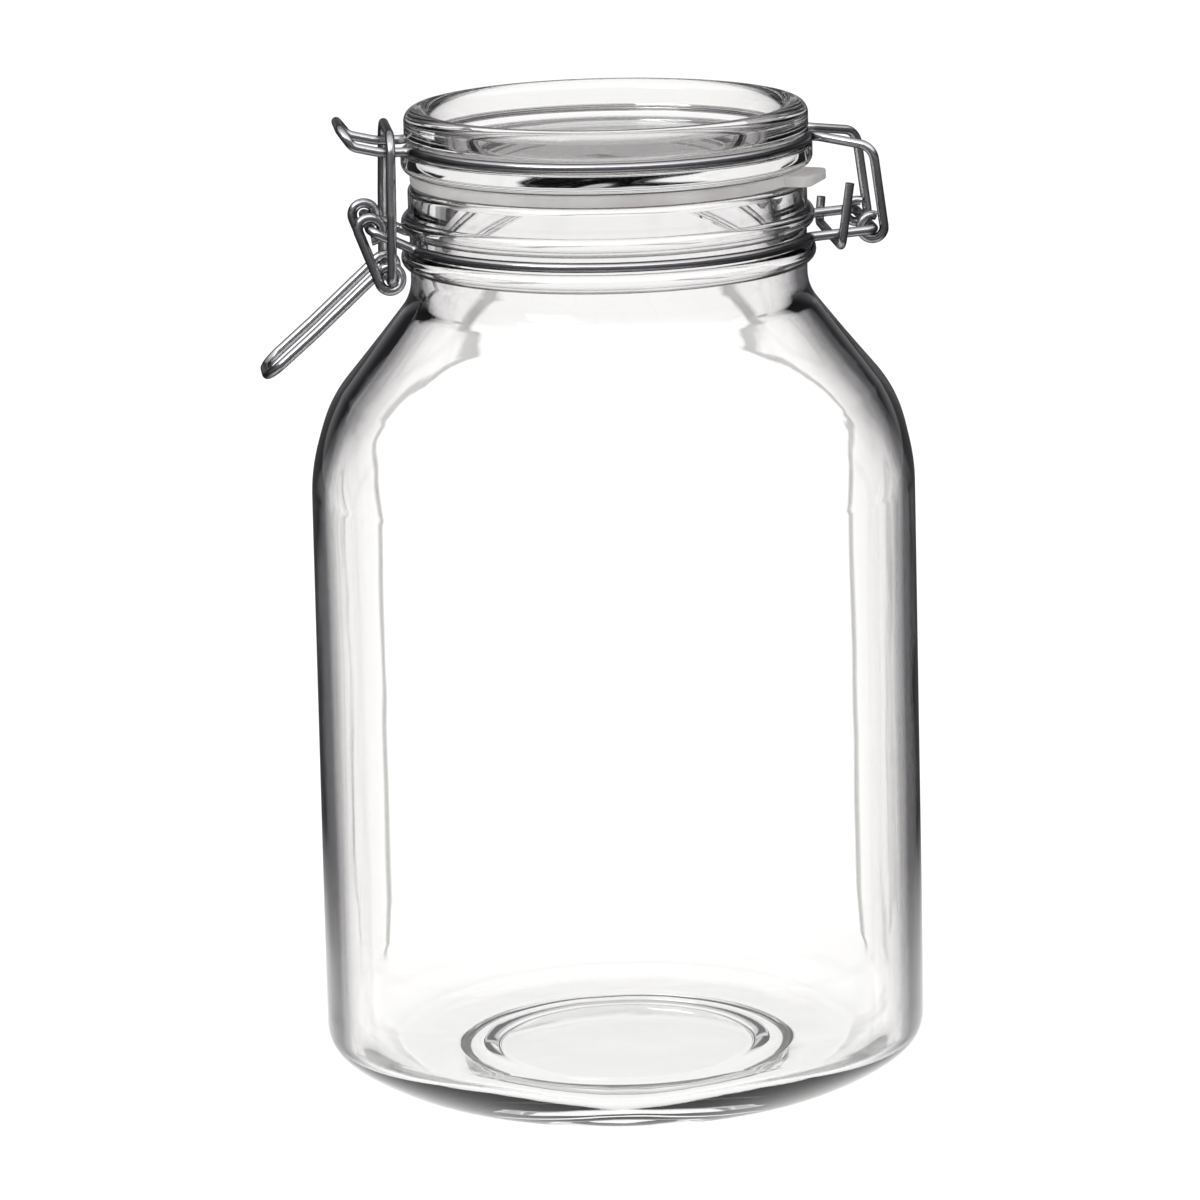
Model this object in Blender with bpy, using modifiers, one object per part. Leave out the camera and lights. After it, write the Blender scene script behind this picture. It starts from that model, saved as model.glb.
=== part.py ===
# Square glass storage jar with a hinged glass lid, rubber gasket and wire bail closure.
# Lengths are in metres. The jar stands on z = 0, and its flat sides face along X and Y.
# The closure sits a few degrees round from square: latch near -X, hinge near +X.

import math

import bmesh
import bpy
from mathutils import Vector

# Glass body
heel_half = 0.0734
shoulder_half = 0.0726
body_corner_radius = 0.0350
body_wall = 0.0042
heel_radius = 0.0185
foot_height = 0.0060
foot_ring_width = 0.0045
foot_rounding = 0.0012
foot_fillet = 0.0022
base_recess_depth = 0.0030
base_recess_slope = 0.0040
floor_height = 0.0125
floor_fillet = 0.0110
shoulder_height = 0.1680
shoulder_radius = 0.0360
corner_blend_drop = 0.0170

# Glass neck and mouth
neck_radius = 0.0480
shoulder_rise = 0.0316
neck_fillet = 0.0120
neck_wall = 0.0055
lower_bead_swell = 0.0022
lower_bead_rise = 0.0095
upper_bead_swell = 0.0020
upper_bead_rise = 0.0085
bead_thickness = 0.0046
throat_swell = 0.0002
mouth_rise = 0.0092
mouth_rounding = 0.0018
bore_rounding = 0.0012

# Glass lid
lid_flange_overhang = 0.00165
lid_flange_thickness = 0.0052
lid_flange_rounding = 0.0022
lid_rim_overhang = 0.0007
lid_rim_width = 0.0063
lid_rim_rounding = 0.0029
lid_rim_rise = 0.0069
recess_depth = 0.0088
recess_draft = 0.0014
recess_fillet = 0.0028
plug_play = 0.0031
plug_width = 0.0046
plug_depth = 0.0036
plug_rounding = 0.0010
lid_centre_thickness = 0.0058
groove_start = math.radians(100)
groove_sweep = math.radians(160)

# Rubber gasket
gasket_inset = 0.0006
gasket_play = 0.0008
gasket_thickness = 0.0026
tab_reach = 0.0056
tab_half_width = 0.0080
tab_corner_radius = 0.0024
tab_angle = math.radians(-24)

# Clearances
seat_gap = 0.0003
running_gap = 0.0004
stacking_play = 0.0010
latch_play = 0.0020

# Wires
neck_wire_radius = 0.0012
lid_wire_radius = 0.00115
lever_wire_radius = 0.0012
bail_wire_radius = 0.00115
tie_wire_radius = 0.0011

# Closure
closure_turn = math.radians(6.2)

# Neck wire
neck_wire_bend = 0.0022
latch_bar_reach = 0.0088
latch_bar_rise = 0.0052
hinge_bar_reach = 0.0130
hinge_bar_rise = 0.0012
hinge_leg_half_span = 0.0166

# Lid wire
lid_wire_bend = 0.0030
nose_half_span = 0.0105
nose_flat_reach = 0.0062
nose_flat_bend = 0.0120
nose_curl_reach = 0.0130
nose_curl_lift = 0.0016
nose_curl_bend = 0.0030
nose_end_reach = 0.0158
nose_end_lift = 0.0054
nose_end_bend = 0.0034
lid_leg_start_half_span = 0.0066
lid_leg_corner_drop = 0.0024
lid_leg_corner_bend = 0.0042
lid_leg_lean = math.radians(7.4)
curl_sweep = math.radians(300)

# Lever
lever_arm_half_span = 0.0116
eye_drop = 0.0124
eye_inset = 0.0046
lever_hook_sweep = math.radians(285)
lever_eye_sweep = math.radians(294)
handle_bend_reach = 0.0179
handle_bend_drop = 0.0125
handle_bend_radius = 0.0200
handle_end_reach = 0.0122
handle_end_drop = 0.0105
handle_end_bend = 0.0052

# Bail
bail_corner_bend = 0.0050
bail_top_inset = 0.0030
bail_straight_height = 0.0165
bail_waist_bend = 0.0120
bail_foot_bend = 0.0022
bail_lean = 0.0008
bail_pin_past_eye = 0.0010

# Tie
tie_distance = 0.0075
tie_bend = 0.0020
tie_near_height = 0.0152
tie_near_lean = 0.0022
tie_far_height = 0.0062
tie_far_lean = 0.0006

# Facets
ring_steps = 52
lid_steps = 44
bead_steps = 4
groove_steps = 5
tab_corner_steps = 4
bend_step = math.radians(30)
wire_ring_step = math.radians(8)
curl_step = math.radians(24)
squareness_power = 0.30

# Places that follow from the sizes above
corner_blend_height = shoulder_height - corner_blend_drop
neck_height = shoulder_height + shoulder_rise
lower_bead_height = neck_height + lower_bead_rise
upper_bead_height = lower_bead_height + upper_bead_rise
mouth_height = upper_bead_height + mouth_rise
neck_wire_height = (lower_bead_height + upper_bead_height) / 2
neck_ring_radius = neck_radius + seat_gap + neck_wire_radius
neck_bore = neck_radius - neck_wall
lower_bead_radius = neck_radius + lower_bead_swell
upper_bead_radius = neck_radius + upper_bead_swell
throat_radius = neck_radius + throat_swell
lid_flange_radius = neck_radius + lid_flange_overhang
lid_rim_radius = neck_radius + lid_rim_overhang
plug_radius = neck_bore - plug_play
lid_recess_radius = lid_rim_radius - lid_rim_width - recess_draft
foot_radius = lid_recess_radius - stacking_play
heel_height = foot_height + heel_radius
gasket_radius = throat_radius - gasket_inset
gasket_bore = plug_radius + gasket_play
gasket_height = mouth_height + seat_gap
lid_seat_height = gasket_height + gasket_thickness + seat_gap
groove_radius = lid_wire_radius + seat_gap
lid_wire_height = lid_seat_height + lid_flange_thickness + groove_radius
lid_ring_radius = lid_rim_radius
lid_height = lid_wire_height + groove_radius + lid_rim_rise
curl_radius = neck_wire_radius + running_gap + lid_wire_radius
hook_radius = neck_wire_radius + running_gap + lever_wire_radius
eye_radius = bail_wire_radius + running_gap + lever_wire_radius
lid_leg_half_span = hinge_leg_half_span - neck_wire_radius - running_gap - lid_wire_radius
latch_leg_half_span = lever_arm_half_span + lever_wire_radius + running_gap + neck_wire_radius
bail_half_span = latch_leg_half_span + neck_wire_radius + running_gap + bail_wire_radius
handle_half_span = lever_arm_half_span - 2 * lever_wire_radius - running_gap
pivot_x = -(neck_ring_radius + latch_bar_reach)
pivot_z = neck_wire_height + latch_bar_rise
eye_x = pivot_x + eye_inset
eye_z = pivot_z - eye_drop
hinge_x = neck_ring_radius + hinge_bar_reach
hinge_z = neck_wire_height + hinge_bar_rise
handle_tip_x = eye_x - handle_bend_reach - handle_end_reach
handle_corner_reach = -(handle_tip_x + handle_end_bend)
handle_corner_span = handle_half_span - handle_end_bend
turned_reach = handle_corner_reach * math.cos(closure_turn) + handle_corner_span * math.sin(closure_turn)
lever_reach = turned_reach + handle_end_bend + lever_wire_radius
axis_x = (lever_reach - heel_half) / 2


def clear_file():
    for thing in list(bpy.data.objects):
        bpy.data.objects.remove(thing, do_unlink=True)


def collection(name):
    made = bpy.data.collections.new(name)
    bpy.context.scene.collection.children.link(made)
    return made


def principled(name, colour, roughness, metallic=0.0, transmission=0.0, ior=1.5):
    material = bpy.data.materials.new(name)
    material.use_nodes = True
    shader = material.node_tree.nodes["Principled BSDF"]
    shader.inputs["Base Color"].default_value = (*colour, 1.0)
    shader.inputs["Roughness"].default_value = roughness
    shader.inputs["Metallic"].default_value = metallic
    shader.inputs["Transmission Weight"].default_value = transmission
    shader.inputs["IOR"].default_value = ior
    return material


def frame_at_axis(name, turn):
    """Empty on the jar's axis, turned about it, that carries the pieces placed in it."""
    made = bpy.data.objects.new(name, None)
    made.location = (axis_x, 0, 0)
    made.rotation_euler = (0, 0, turn)
    parts.objects.link(made)
    return made


def place(data, name, material, pivot=(0.0, 0.0, 0.0), carrier=None):
    """Add mesh or curve data with its origin on pivot, in the closure's frame or a carrier's."""
    made = bpy.data.objects.new(name, data)
    made.parent = carrier or closure_frame
    made.location = pivot
    data.materials.append(material)
    parts.objects.link(made)
    return made


def rounded_path(corners):
    """Turn (across, height, radius, steps) corners into points, with an arc at each radius."""
    points = []
    for index, (across, height, radius, steps) in enumerate(corners):
        here = Vector((across, height))
        if radius == 0:
            points.append(here)
            continue
        into = (here - Vector(corners[index - 1][:2])).normalized()
        out = (Vector(corners[index + 1][:2]) - here).normalized()
        turn = into.angle(out)
        reach = radius * math.tan(turn / 2)
        side = 1 if into.x * out.y - into.y * out.x > 0 else -1
        centre = here - into * reach + Vector((-into.y, into.x)) * side * radius
        start = (here - into * reach) - centre
        for step in range(steps + 1):
            angle = side * turn * step / steps
            points.append(centre + Vector((
                start.x * math.cos(angle) - start.y * math.sin(angle),
                start.x * math.sin(angle) + start.y * math.cos(angle),
            )))
    return points


def bent_path(corners):
    """Turn (point, bend radius) corners in space into wire points with round bends."""
    points = []
    for index, (here, radius) in enumerate(corners):
        here = Vector(here)
        if radius == 0:
            points.append(here)
            continue
        into = (here - Vector(corners[index - 1][0])).normalized()
        out = (Vector(corners[index + 1][0]) - here).normalized()
        turn = into.angle(out)
        reach = radius * math.tan(turn / 2)
        inward = (out - into * into.dot(out)).normalized()
        centre = here - into * reach + inward * radius
        steps = max(2, math.ceil(turn / bend_step))
        for step in range(steps + 1):
            angle = turn * step / steps
            points.append(centre + into * radius * math.sin(angle) - inward * radius * math.cos(angle))
    return points


def signed_power(value, power):
    return math.copysign(abs(value) ** power, value)


def ring_point(half, corner, step):
    """One point of a rounded square, which is a circle where corner equals half."""
    turn = 2 * math.pi * step / ring_steps
    flat = half - corner
    across = flat * signed_power(math.cos(turn), squareness_power) + corner * math.cos(turn)
    along = flat * signed_power(math.sin(turn), squareness_power) + corner * math.sin(turn)
    return across, along


def smooth_share(value):
    share = min(max(value, 0.0), 1.0)
    return share * share * (3 - 2 * share)


def corner_at(half, height, inset, low, high, top):
    """Corner radius at a height: round below low and above top, square from high upwards."""
    square = body_corner_radius - inset
    heel_share = 1 - smooth_share((height - low) / (high - low))
    shoulder_share = smooth_share((height - corner_blend_height) / (top - corner_blend_height))
    share = max(heel_share, shoulder_share)
    return min(square + (half - square) * share, half)


def bead(radius, height, side_radius):
    """A rounded bead on the neck, as profile points from its lower to its upper edge."""
    points = []
    for step in range(bead_steps + 1):
        angle = math.pi * (step / bead_steps - 1 / 2)
        swell = (radius - side_radius) * math.cos(angle)
        points.append((side_radius + swell, height + bead_thickness / 2 * math.sin(angle)))
    return points


def jar_rings():
    """Rings of the body from the middle of the base, up the outside and down the inside."""
    slope = math.atan2(neck_height - shoulder_height, shoulder_half - neck_radius)
    foot_inner = foot_radius - foot_ring_width
    middle_half = (shoulder_half + 2 * neck_radius) / 3
    middle_height = (shoulder_height + 2 * neck_height) / 3
    outside = rounded_path([
        (foot_inner, 0, 0, 0),
        (foot_radius, 0, foot_rounding, 2),
        (foot_radius, foot_height, foot_fillet, 2),
        (heel_half, foot_height, heel_radius, 7),
        (shoulder_half, shoulder_height, shoulder_radius, 7),
        (middle_half, middle_height, 0, 0),
        (neck_radius, neck_height, neck_fillet, 3),
        (neck_radius, lower_bead_height - bead_thickness / 2, 0, 0),
    ])
    inner_half = heel_half - body_wall
    inner_shoulder = shoulder_half - body_wall
    lift = body_wall * (1 - math.sin(slope)) * math.tan(slope) - body_wall * math.cos(slope)
    run = (shoulder_half - body_wall * math.sin(slope) - neck_bore) / math.cos(slope)
    bore_start = shoulder_height - body_wall * math.cos(slope) + run * math.sin(slope)
    inside = rounded_path([
        (neck_bore, mouth_height - bore_rounding, 0, 0),
        (neck_bore, bore_start, neck_fillet, 3),
        (inner_shoulder, shoulder_height + lift, shoulder_radius - body_wall, 6),
        (inner_half, floor_height, floor_fillet, 5),
        (foot_radius, floor_height, 0, 0),
    ])
    rings = []
    for across in (foot_inner / 3, foot_inner - base_recess_slope):
        rings.append((across, base_recess_depth, across))
    for across, height in outside:
        inset = heel_half - across if height < heel_height else 0
        corner = corner_at(across, height, inset, foot_height, heel_height, neck_height)
        rings.append((across, height, corner))
    for across, height in bead(lower_bead_radius, lower_bead_height, neck_radius)[1:]:
        rings.append((across, height, across))
    for across, height in bead(upper_bead_radius, upper_bead_height, neck_radius)[:-1]:
        rings.append((across, height, across))
    mouth = rounded_path([
        (throat_radius, upper_bead_height + bead_thickness / 2, 0, 0),
        (throat_radius, mouth_height, mouth_rounding, 3),
        (neck_bore, mouth_height, bore_rounding, 2),
        (neck_bore, mouth_height - 2 * bore_rounding, 0, 0),
    ])
    for across, height in mouth[:-1]:
        rings.append((across, height, across))
    for across, height in inside[1:]:
        floor_top = floor_height + floor_fillet
        inset = inner_half - across if height < floor_top else 0
        corner = corner_at(across, height, body_wall + inset, floor_height, floor_top, bore_start)
        rings.append((across, height, corner))
    rings.append((foot_radius / 2, floor_height, foot_radius / 2))
    return rings


def glass_jar(material):
    rings = jar_rings()
    mesh = bmesh.new()
    rows = []
    for half, height, corner in rings:
        row = []
        for step in range(ring_steps):
            across, along = ring_point(half, corner, step)
            row.append(mesh.verts.new((across, along, height)))
        rows.append(row)
    for lower, upper in zip(rows, rows[1:]):
        for step in range(ring_steps):
            following = (step + 1) % ring_steps
            mesh.faces.new((lower[step], lower[following], upper[following], upper[step]))
    mesh.faces.new(list(reversed(rows[0])))
    mesh.faces.new(rows[-1])
    bmesh.ops.recalc_face_normals(mesh, faces=mesh.faces)
    data = bpy.data.meshes.new("glass_jar")
    mesh.to_mesh(data)
    mesh.free()
    return place(data, "glass_jar", material, carrier=body_frame)


def turned(name, profile, steps, material):
    """Revolve profile points about the jar's axis with a Screw modifier."""
    data = bpy.data.meshes.new(name)
    vertices = [(across, 0, height) for across, height in profile]
    edges = [(index, index + 1) for index in range(len(profile) - 1)]
    data.from_pydata(vertices, edges, [])
    made = place(data, name, material)
    screw = made.modifiers.new("revolve", "SCREW")
    screw.axis = "Z"
    screw.steps = steps
    screw.render_steps = steps
    screw.use_merge_vertices = True
    screw.merge_threshold = 0.0001
    return made


def lid_profile():
    """Lid outline from the middle of the recess, over the rim and groove, to the underside."""
    recess_floor = lid_height - recess_depth
    rim_inner = lid_rim_radius - lid_rim_width
    underside = recess_floor - lid_centre_thickness
    plug_inner = plug_radius - plug_width
    top = rounded_path([
        (0, recess_floor, 0, 0),
        (rim_inner - recess_draft, recess_floor, recess_fillet, 3),
        (rim_inner, lid_height, lid_rim_rounding, 4),
        (lid_rim_radius, lid_height, lid_rim_rounding, 4),
        (lid_rim_radius, lid_wire_height + groove_radius, 0, 0),
    ])
    groove = []
    for step in range(groove_steps + 1):
        angle = groove_start + groove_sweep * step / groove_steps
        groove.append((
            lid_ring_radius + groove_radius * math.cos(angle),
            lid_wire_height + groove_radius * math.sin(angle),
        ))
    bottom = rounded_path([
        (lid_ring_radius, lid_wire_height - groove_radius, 0, 0),
        (lid_flange_radius, lid_seat_height + lid_flange_thickness, lid_flange_rounding / 4, 2),
        (lid_flange_radius, lid_seat_height, lid_flange_rounding, 3),
        (plug_radius, lid_seat_height, 0, 0),
        (plug_radius, lid_seat_height - plug_depth, plug_rounding, 2),
        (plug_inner, lid_seat_height - plug_depth, plug_rounding, 2),
        (plug_inner - recess_draft, underside, recess_fillet / 2, 2),
        (0, underside, 0, 0),
    ])
    return [tuple(point) for point in top] + groove + [tuple(point) for point in bottom[1:]]


def glass_lid(material):
    return turned("glass_lid", lid_profile(), lid_steps, material)


def circle_points(radius, start, sweep, steps):
    points = []
    for step in range(steps + 1):
        angle = start + sweep * step / steps
        points.append((radius * math.cos(angle), radius * math.sin(angle)))
    return points


def gasket(material):
    """Flat ring with a pull tab, as a filled outline with thickness."""
    outer_tab = gasket_radius + tab_reach
    half_angle = math.asin(tab_half_width / gasket_radius)
    sweep = 2 * math.pi - 2 * half_angle
    outer = circle_points(gasket_radius, tab_angle + half_angle, sweep, lid_steps - 6)
    along = Vector((math.cos(tab_angle), math.sin(tab_angle)))
    across = Vector((-along.y, along.x))
    corner = outer_tab - tab_corner_radius
    inset = tab_half_width - tab_corner_radius
    for side in (-1, 1):
        for step in range(tab_corner_steps + 1):
            turn = math.pi / 2 * step / tab_corner_steps
            if side < 0:
                turn = math.pi / 2 - turn
            reach = corner + tab_corner_radius * math.cos(turn)
            width = side * (inset + tab_corner_radius * math.sin(turn))
            outer.append(tuple(along * reach + across * width))
    inner = circle_points(gasket_bore, 0, 2 * math.pi * (lid_steps - 1) / lid_steps, lid_steps - 1)
    curve = bpy.data.curves.new("gasket", "CURVE")
    curve.dimensions = "2D"
    curve.fill_mode = "BOTH"
    curve.extrude = gasket_thickness / 2
    for outline in (outer, inner):
        spline = curve.splines.new("POLY")
        spline.points.add(len(outline) - 1)
        for point, (x, y) in zip(spline.points, outline):
            point.co = (x, y, 0, 1)
        spline.use_cyclic_u = True
    return place(curve, "gasket", material, (0, 0, gasket_height + gasket_thickness / 2))


def wire(name, points, radius, material, pivot=(0.0, 0.0, 0.0), closed=False):
    """Round wire along the points, with its origin on pivot and flat ends."""
    curve = bpy.data.curves.new(name, "CURVE")
    curve.dimensions = "3D"
    curve.bevel_depth = radius
    curve.bevel_resolution = 2
    curve.use_fill_caps = not closed
    spline = curve.splines.new("POLY")
    spline.points.add(len(points) - 1)
    for place_point, point in zip(spline.points, points):
        place_point.co = (*(Vector(point) - Vector(pivot)), 1)
    spline.use_cyclic_u = closed
    return place(curve, name, material, pivot)


def ring_arc(radius, height, start_along, end_along, side):
    """Points round one side of a wire ring, from the hinge end to the latch end."""
    start = math.asin(start_along / radius)
    end = math.pi - math.asin(end_along / radius)
    count = math.ceil((end - start) / wire_ring_step)
    corners = []
    for step in range(count + 1):
        angle = start + (end - start) * step / count
        corners.append(((radius * math.cos(angle), side * radius * math.sin(angle), height), 0))
    return corners


def neck_wire(material):
    """Closed ring round the neck with a latch bar at one side and a hinge bar at the other."""
    slack = 2 * neck_wire_bend
    latch_foot = math.sqrt(neck_ring_radius ** 2 - latch_leg_half_span ** 2)
    hinge_foot = math.sqrt(neck_ring_radius ** 2 - hinge_leg_half_span ** 2)
    corners = []
    for side in (1, -1):
        half = ring_arc(neck_ring_radius, neck_wire_height,
                        hinge_leg_half_span + slack, latch_leg_half_span + slack, side)
        latch = [
            ((-latch_foot, side * latch_leg_half_span, neck_wire_height), neck_wire_bend),
            ((pivot_x, side * latch_leg_half_span, pivot_z), neck_wire_bend),
        ]
        hinge = [
            ((hinge_x, side * hinge_leg_half_span, hinge_z), neck_wire_bend),
            ((hinge_foot, side * hinge_leg_half_span, neck_wire_height), neck_wire_bend),
        ]
        run = hinge + half + latch
        corners += run if side > 0 else list(reversed(run))
    first = ((hinge_x, 0, hinge_z), 0)
    points = bent_path([first] + corners + [first])
    return wire("neck_wire", points[:-1], neck_wire_radius, material, closed=True)


def hinge_tie(material):
    """Staple under both hinge legs, with its ends turned up outside them."""
    span = hinge_leg_half_span + neck_wire_radius + running_gap + tie_wire_radius
    foot = math.sqrt(neck_ring_radius ** 2 - hinge_leg_half_span ** 2)
    tie_x = foot + tie_distance
    leg_height = neck_wire_height + hinge_bar_rise * tie_distance / (hinge_x - foot)
    bottom = leg_height - neck_wire_radius - running_gap - tie_wire_radius
    points = bent_path([
        ((tie_x + tie_near_lean, -span, bottom + tie_near_height), 0),
        ((tie_x, -span, bottom), tie_bend),
        ((tie_x, span, bottom), tie_bend),
        ((tie_x + tie_far_lean, span, bottom + tie_far_height), 0),
    ])
    return wire("hinge_tie", points, tie_wire_radius, material)


def curl(side):
    """Hinge curl of one lid wire leg, turning round the hinge bar and stepping inwards."""
    step_in = 2 * lid_wire_radius + running_gap
    count = math.ceil(curl_sweep / curl_step)
    points = []
    for step in range(count + 1):
        turn = curl_sweep * step / count
        angle = lid_leg_lean - turn
        points.append(Vector((
            hinge_x + curl_radius * math.cos(angle),
            side * (lid_leg_half_span - step_in * turn / (2 * math.pi)),
            hinge_z + curl_radius * math.sin(angle),
        )))
    return points


def lid_wire(material):
    """Wire round the lid's groove: hinge curls at one side, the nose for the bail at the other."""
    slack = 1.5 * lid_wire_bend
    hinge_foot = math.sqrt(lid_ring_radius ** 2 - lid_leg_start_half_span ** 2)
    nose_foot = math.sqrt(lid_ring_radius ** 2 - nose_half_span ** 2)
    tangent = Vector((
        hinge_x + curl_radius * math.cos(lid_leg_lean),
        hinge_z + curl_radius * math.sin(lid_leg_lean),
    ))
    corner_height = lid_wire_height - lid_leg_corner_drop
    rise = corner_height - tangent.y
    corner_x = tangent.x - rise * math.tan(lid_leg_lean)
    corners = []
    for side in (1, -1):
        leg = [
            (curl(side)[0], 0),
            ((corner_x, side * lid_leg_half_span, corner_height), lid_leg_corner_bend),
            ((hinge_foot, side * lid_leg_start_half_span, lid_wire_height), lid_wire_bend),
        ]
        half = ring_arc(lid_ring_radius, lid_wire_height,
                        lid_leg_start_half_span + slack, nose_half_span + slack, side)
        nose = [((-nose_foot, side * nose_half_span, lid_wire_height), lid_wire_bend)]
        for reach, lift, bend in (
            (nose_flat_reach, 0, nose_flat_bend),
            (nose_curl_reach, nose_curl_lift, nose_curl_bend),
            (nose_end_reach, nose_end_lift, nose_end_bend),
        ):
            here = (-(lid_ring_radius + reach), side * nose_half_span, lid_wire_height + lift)
            nose.append((here, bend))
        run = leg + half + nose
        corners += run if side > 0 else list(reversed(run))
    points = list(reversed(curl(1)))[:-1] + bent_path(corners) + curl(-1)[1:]
    return wire("lid_wire", points, lid_wire_radius, material, (hinge_x, 0, hinge_z))


def lever_half(side):
    """One side of the lever: hook round the latch bar, arm, eye, then the handle's wire."""
    hook_to_eye = Vector((eye_x - pivot_x, eye_z - pivot_z))
    arm_angle = math.atan2(hook_to_eye.y, hook_to_eye.x) - math.pi / 2
    points = []
    count = math.ceil(lever_hook_sweep / curl_step)
    for step in range(count + 1):
        angle = arm_angle - lever_hook_sweep * (1 - step / count)
        points.append(Vector((
            pivot_x + hook_radius * math.cos(angle),
            side * lever_arm_half_span,
            pivot_z + hook_radius * math.sin(angle),
        )))
    count = math.ceil(lever_eye_sweep / curl_step)
    step_in = lever_arm_half_span - handle_half_span
    for step in range(count + 1):
        share = step / count
        angle = arm_angle + lever_eye_sweep * share
        points.append(Vector((
            eye_x + eye_radius * math.cos(angle),
            side * (lever_arm_half_span - step_in * smooth_share(share)),
            eye_z + eye_radius * math.sin(angle),
        )))
    return points


def latch_lever(material):
    """Lever bent from one wire: two hooks, two eyes and a closed handle."""
    bend_x = eye_x - handle_bend_reach
    bend_z = eye_z - handle_bend_drop
    tip_z = bend_z - handle_end_drop
    near = lever_half(-1)
    far = lever_half(1)
    handle = bent_path([
        (near[-1], 0),
        ((bend_x, -handle_half_span, bend_z), handle_bend_radius),
        ((handle_tip_x, -handle_half_span, tip_z), handle_end_bend),
        ((handle_tip_x, handle_half_span, tip_z), handle_end_bend),
        ((bend_x, handle_half_span, bend_z), handle_bend_radius),
        (far[-1], 0),
    ])
    points = near[:-1] + handle + list(reversed(far[:-1]))
    return wire("latch_lever", points, lever_wire_radius, material, (pivot_x, 0, pivot_z))


def bail_wire(material):
    """Bail that hangs over the lid wire's nose, with its feet turned in through the eyes."""
    top_z = lid_wire_height + lid_wire_radius + latch_play + bail_wire_radius
    pin_end = handle_half_span - lever_wire_radius - bail_pin_past_eye
    corners = [((eye_x, -pin_end, eye_z), 0)]
    waist_x = eye_x + bail_lean * bail_straight_height / (top_z - eye_z)
    for side in (-1, 1):
        leg = [
            ((eye_x, side * bail_half_span, eye_z), bail_foot_bend),
            ((waist_x, side * bail_half_span, eye_z + bail_straight_height), bail_waist_bend),
            ((eye_x + bail_lean, side * (bail_half_span - bail_top_inset), top_z), bail_corner_bend),
        ]
        corners += leg if side < 0 else list(reversed(leg))
    corners.append(((eye_x, pin_end, eye_z), 0))
    return wire("bail_wire", bent_path(corners), bail_wire_radius, material, (eye_x, 0, eye_z))


clear_file()
parts = collection("canning_jar")
body_frame = frame_at_axis("body_frame", 0)
closure_frame = frame_at_axis("closure_frame", closure_turn)

clear_glass = principled("clear_glass", (0.93, 0.95, 0.95), 0.03, transmission=1.0, ior=1.5)
steel_wire = principled("steel_wire", (0.62, 0.62, 0.64), 0.22, metallic=1.0)
pale_rubber = principled("pale_rubber", (0.88, 0.87, 0.82), 0.5)

glass_jar(clear_glass)
neck_wire(steel_wire)
hinge_tie(steel_wire)
glass_lid(clear_glass)
gasket(pale_rubber)
lid_wire(steel_wire)
latch_lever(steel_wire)
bail_wire(steel_wire)
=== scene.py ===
# Square glass storage jar with a hinged glass lid, rubber gasket and wire bail closure.
# Lengths are in metres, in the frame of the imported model: z = 0 is the surface the jar stands on
# and the body's flat sides face along X and Y. The closure sits a few degrees round from square,
# with its latch near -X and its hinge near +X.

import math

import bmesh
import bpy
from mathutils import Matrix, Vector


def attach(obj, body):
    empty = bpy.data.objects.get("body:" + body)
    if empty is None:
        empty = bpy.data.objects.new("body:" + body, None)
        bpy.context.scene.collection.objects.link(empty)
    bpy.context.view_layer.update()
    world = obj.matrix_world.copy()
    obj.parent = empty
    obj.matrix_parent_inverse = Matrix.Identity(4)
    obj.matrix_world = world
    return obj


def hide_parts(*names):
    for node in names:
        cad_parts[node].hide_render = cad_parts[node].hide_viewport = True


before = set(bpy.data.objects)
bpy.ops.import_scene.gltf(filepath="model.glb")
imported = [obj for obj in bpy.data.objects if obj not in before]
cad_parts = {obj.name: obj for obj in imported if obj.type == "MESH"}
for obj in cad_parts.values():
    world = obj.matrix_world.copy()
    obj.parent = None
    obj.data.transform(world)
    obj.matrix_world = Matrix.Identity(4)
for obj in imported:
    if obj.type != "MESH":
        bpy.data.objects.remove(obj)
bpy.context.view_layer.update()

# Glass body
heel_half = 0.0734
shoulder_half = 0.0726
body_corner_radius = 0.0350
body_wall = 0.0042
heel_radius = 0.0185
foot_height = 0.0060
foot_ring_width = 0.0045
foot_rounding = 0.0012
foot_fillet = 0.0022
base_recess_depth = 0.0030
base_recess_slope = 0.0040
floor_height = 0.0125
floor_fillet = 0.0110
shoulder_height = 0.1680
shoulder_radius = 0.0360
corner_blend_drop = 0.0170
squareness_power = 0.30

# Glass neck and mouth
neck_radius = 0.0480
shoulder_rise = 0.0316
neck_fillet = 0.0120
neck_wall = 0.0055
lower_bead_swell = 0.0022
lower_bead_rise = 0.0095
upper_bead_swell = 0.0020
upper_bead_rise = 0.0085
bead_thickness = 0.0046
throat_swell = 0.0002
mouth_rise = 0.0092
mouth_rounding = 0.0018
bore_rounding = 0.0012

# Glass lid
lid_flange_overhang = 0.00165
lid_flange_thickness = 0.0052
lid_flange_rounding = 0.0022
lid_rim_overhang = 0.0007
lid_rim_width = 0.0063
lid_rim_rounding = 0.0029
lid_rim_rise = 0.0069
recess_depth = 0.0088
recess_draft = 0.0014
recess_fillet = 0.0028
plug_play = 0.0031
plug_width = 0.0046
plug_depth = 0.0036
plug_rounding = 0.0010
lid_centre_thickness = 0.0058
groove_start = math.radians(100)
groove_sweep = math.radians(160)

# Rubber gasket
gasket_inset = 0.0006
gasket_play = 0.0008
gasket_thickness = 0.0026
gasket_edge_rounding = 0.0005
tab_reach = 0.0056
tab_half_width = 0.0080
tab_corner_radius = 0.0024
tab_angle = math.radians(-24)

# Clearances
seat_gap = 0.0003
running_gap = 0.0004
stacking_play = 0.0010
latch_play = 0.0020

# Wires
neck_wire_radius = 0.0012
lid_wire_radius = 0.00115
lever_wire_radius = 0.0012
bail_wire_radius = 0.00115
tie_wire_radius = 0.0011

# Closure
closure_turn = math.radians(6.2)

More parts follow.
